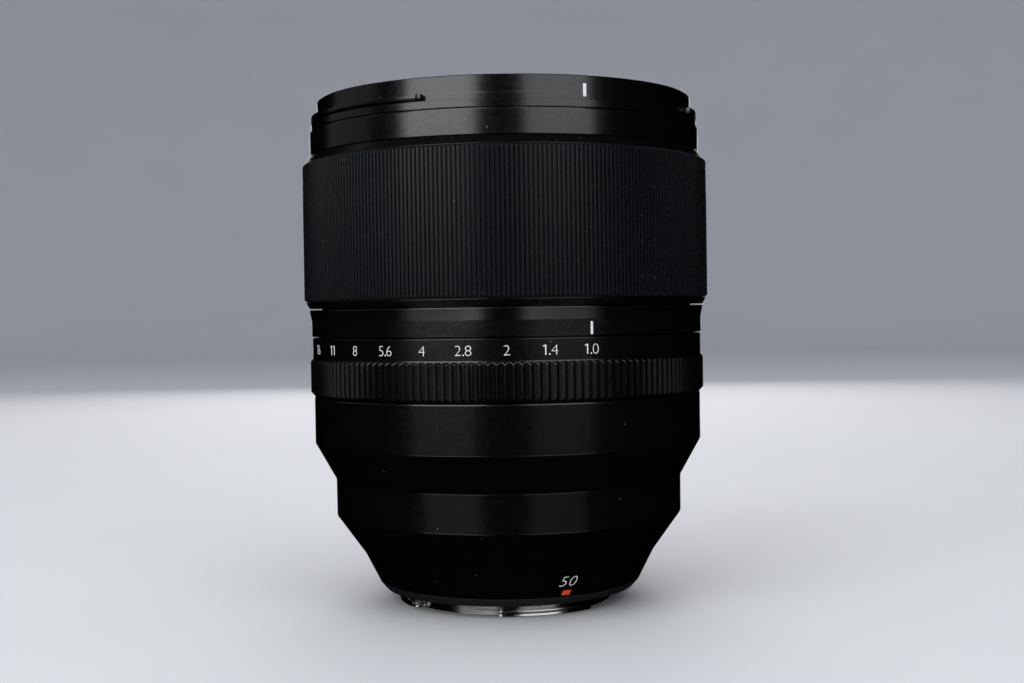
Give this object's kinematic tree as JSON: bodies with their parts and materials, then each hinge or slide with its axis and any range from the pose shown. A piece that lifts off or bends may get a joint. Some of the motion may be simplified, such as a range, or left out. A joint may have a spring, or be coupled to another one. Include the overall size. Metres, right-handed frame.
{
  "type": "prime camera lens",
  "caption": "Fast 50 mm prime lens for a mirrorless camera: ribbed focus grip, clicked aperture ring, bladed iris, sliding focus group, steel bayonet mount and filter thread.",
  "frame": {"origin": "On the optical axis, at the rear end of the bayonet, where the lens stands on a table. The flange plane is 3.3 mm above it.", "axes": "+Z runs along the optical axis to the front of the lens. -Y points at the index marks."},
  "size_m": [0.087, 0.087, 0.1068],
  "materials": {
    "satin_black": "satin black anodised aluminium",
    "dark_metal": "semi-matt black anodised aluminium",
    "inner_black": "flat black, anti-reflection",
    "grip_rubber": "matt, fine ribs",
    "seal_rubber": "matt",
    "mount_metal": "polished, machined",
    "steel": "satin",
    "blade_steel": "blackened",
    "brass": "machined",
    "black_plastic": "moulded, matt",
    "gear_plastic": "moulded acetal",
    "board": "solder resist",
    "glass": "coated optical glass"
  },
  "bodies": {
    "lens_body": {"front_rim": "satin_black", "trim_ring": "inner_black", "front_barrel": "satin_black", "main_barrel": "satin_black", "focus_sensor": "black_plastic", "click_ball": "steel", "click_spring": "steel", "aperture_code_strip": "brass", "rear_barrel": "satin_black", "bayonet_mount": "mount_metal", "mount_screw_1": "steel", "mount_screw_2": "steel", "mount_screw_3": "steel", "mount_screw_4": "steel", "mount_seal": "seal_rubber", "rear_shroud": "black_plastic", "contact_block": "black_plastic", "front_cell": "inner_black", "front_retaining_ring": "inner_black", "rear_cell": "inner_black", "lens_element_01": "glass", "lens_element_02": "glass", "lens_element_03": "glass", "lens_element_04": "glass", "lens_element_09": "glass", "lens_element_10": "glass", "lens_element_11": "glass", "lens_element_12": "glass", "guide_tube": "inner_black", "focus_motor": "steel", "iris_base": "inner_black", "iris_cover": "inner_black", "iris_motor": "steel", "main_board": "board"},
    "focus_ring": {"focus_ring": "dark_metal", "focus_grip": "grip_rubber", "focus_comb": "black_plastic"},
    "aperture_ring": {"aperture_ring": "satin_black", "aperture_brush": "brass"},
    "aperture_lock_button": {"aperture_lock_button": "black_plastic"},
    "cam_ring": {"cam_ring": "brass"},
    "focus_carriage": {"focus_carriage": "inner_black", "lens_element_05": "glass", "lens_element_06": "glass", "lens_element_07": "glass", "lens_element_08": "glass"},
    "lay_gear": {"lay_gear": "gear_plastic"},
    "focus_pinion": {"focus_pinion": "brass"},
    "iris_drive_ring": {"iris_drive_ring": "brass"},
    "iris_pinion": {"iris_pinion": "brass"},
    "iris_blade_1": {"iris_blade_1": "blade_steel"},
    "iris_blade_2": {"iris_blade_2": "blade_steel"},
    "iris_blade_3": {"iris_blade_3": "blade_steel"},
    "iris_blade_4": {"iris_blade_4": "blade_steel"},
    "iris_blade_5": {"iris_blade_5": "blade_steel"},
    "iris_blade_6": {"iris_blade_6": "blade_steel"},
    "iris_blade_7": {"iris_blade_7": "blade_steel"},
    "iris_blade_8": {"iris_blade_8": "blade_steel"},
    "iris_blade_9": {"iris_blade_9": "blade_steel"}
  },
  "joints": [
    {"name": "focus_ring_turn", "type": "hinge", "parent": "lens_body", "child": "focus_ring", "pos_m": [0, 0, 0.0783], "axis": [0, 0, 1], "continuous": true},
    {"name": "aperture_ring_turn", "type": "hinge", "parent": "lens_body", "child": "aperture_ring", "pos_m": [0, 0, 0.0503], "axis": [0, 0, 1], "range_deg": [0, 104]},
    {"name": "lock_button_press", "type": "slide", "parent": "aperture_ring", "child": "aperture_lock_button", "axis": [-0.5, -0.866, 0], "range_m": [0, 0.0006], "stiffness_N_per_m": 200},
    {"name": "cam_ring_turn", "type": "hinge", "parent": "lens_body", "child": "cam_ring", "pos_m": [0, 0, 0.0423], "axis": [0, 0, 1], "range_deg": [0, 60.01]},
    {"name": "carriage_slide", "type": "slide", "parent": "lens_body", "child": "focus_carriage", "axis": [0, 0, 1], "range_m": [0, 0.005]},
    {"name": "lay_gear_spin", "type": "hinge", "parent": "lens_body", "child": "lay_gear", "pos_m": [0.02733, -0.01578, 0.0353], "axis": [0, 0, 1], "range_deg": [-513, 0]},
    {"name": "focus_pinion_spin", "type": "hinge", "parent": "lens_body", "child": "focus_pinion", "pos_m": [0.03139, -0.00802, 0.0353], "axis": [0, 0, 1], "range_deg": [0, 1140]},
    {"name": "iris_ring_turn", "type": "hinge", "parent": "lens_body", "child": "iris_drive_ring", "pos_m": [0, 0, 0.0578], "axis": [0, 0, 1], "range_deg": [0, 3.63]},
    {"name": "iris_pinion_spin", "type": "hinge", "parent": "lens_body", "child": "iris_pinion", "pos_m": [-0.02254, 0.02686, 0.0578], "axis": [0, 0, 1], "range_deg": [-88, 0]},
    {"name": "iris_blade_1_swing", "type": "hinge", "parent": "lens_body", "child": "iris_blade_1", "pos_m": [0, -0.0286, 0.0553], "axis": [0, 0, 1], "range_deg": [0, 34.6]},
    {"name": "iris_blade_2_swing", "type": "hinge", "parent": "lens_body", "child": "iris_blade_2", "pos_m": [0.01838, -0.02191, 0.0553], "axis": [0, 0, 1], "range_deg": [0, 34.6]},
    {"name": "iris_blade_3_swing", "type": "hinge", "parent": "lens_body", "child": "iris_blade_3", "pos_m": [0.02817, -0.00497, 0.0553], "axis": [0, 0, 1], "range_deg": [0, 34.6]},
    {"name": "iris_blade_4_swing", "type": "hinge", "parent": "lens_body", "child": "iris_blade_4", "pos_m": [0.02477, 0.0143, 0.0553], "axis": [0, 0, 1], "range_deg": [0, 34.6]},
    {"name": "iris_blade_5_swing", "type": "hinge", "parent": "lens_body", "child": "iris_blade_5", "pos_m": [0.00978, 0.02688, 0.0553], "axis": [0, 0, 1], "range_deg": [0, 34.6]},
    {"name": "iris_blade_6_swing", "type": "hinge", "parent": "lens_body", "child": "iris_blade_6", "pos_m": [-0.00978, 0.02688, 0.0553], "axis": [0, 0, 1], "range_deg": [0, 34.6]},
    {"name": "iris_blade_7_swing", "type": "hinge", "parent": "lens_body", "child": "iris_blade_7", "pos_m": [-0.02477, 0.0143, 0.0553], "axis": [0, 0, 1], "range_deg": [0, 34.6]},
    {"name": "iris_blade_8_swing", "type": "hinge", "parent": "lens_body", "child": "iris_blade_8", "pos_m": [-0.02817, -0.00497, 0.0553], "axis": [0, 0, 1], "range_deg": [0, 34.6]},
    {"name": "iris_blade_9_swing", "type": "hinge", "parent": "lens_body", "child": "iris_blade_9", "pos_m": [-0.01838, -0.02191, 0.0553], "axis": [0, 0, 1], "range_deg": [0, 34.6]}
  ],
  "couplings": [
    {"joint": "cam_ring_turn", "follows": "carriage_slide", "rad_per_m": 209.44},
    {"joint": "lay_gear_spin", "follows": "carriage_slide", "rad_per_m": -1789.8},
    {"joint": "focus_pinion_spin", "follows": "carriage_slide", "rad_per_m": 3977.2},
    {"joint": "iris_pinion_spin", "follows": "iris_ring_turn", "ratio": -24},
    {"joint": "iris_blade_1_swing", "follows": "iris_ring_turn", "ratio": 9.513},
    {"joint": "iris_blade_2_swing", "follows": "iris_ring_turn", "ratio": 9.513},
    {"joint": "iris_blade_3_swing", "follows": "iris_ring_turn", "ratio": 9.513},
    {"joint": "iris_blade_4_swing", "follows": "iris_ring_turn", "ratio": 9.513},
    {"joint": "iris_blade_5_swing", "follows": "iris_ring_turn", "ratio": 9.513},
    {"joint": "iris_blade_6_swing", "follows": "iris_ring_turn", "ratio": 9.513},
    {"joint": "iris_blade_7_swing", "follows": "iris_ring_turn", "ratio": 9.513},
    {"joint": "iris_blade_8_swing", "follows": "iris_ring_turn", "ratio": 9.513},
    {"joint": "iris_blade_9_swing", "follows": "iris_ring_turn", "ratio": 9.513}
  ]
}
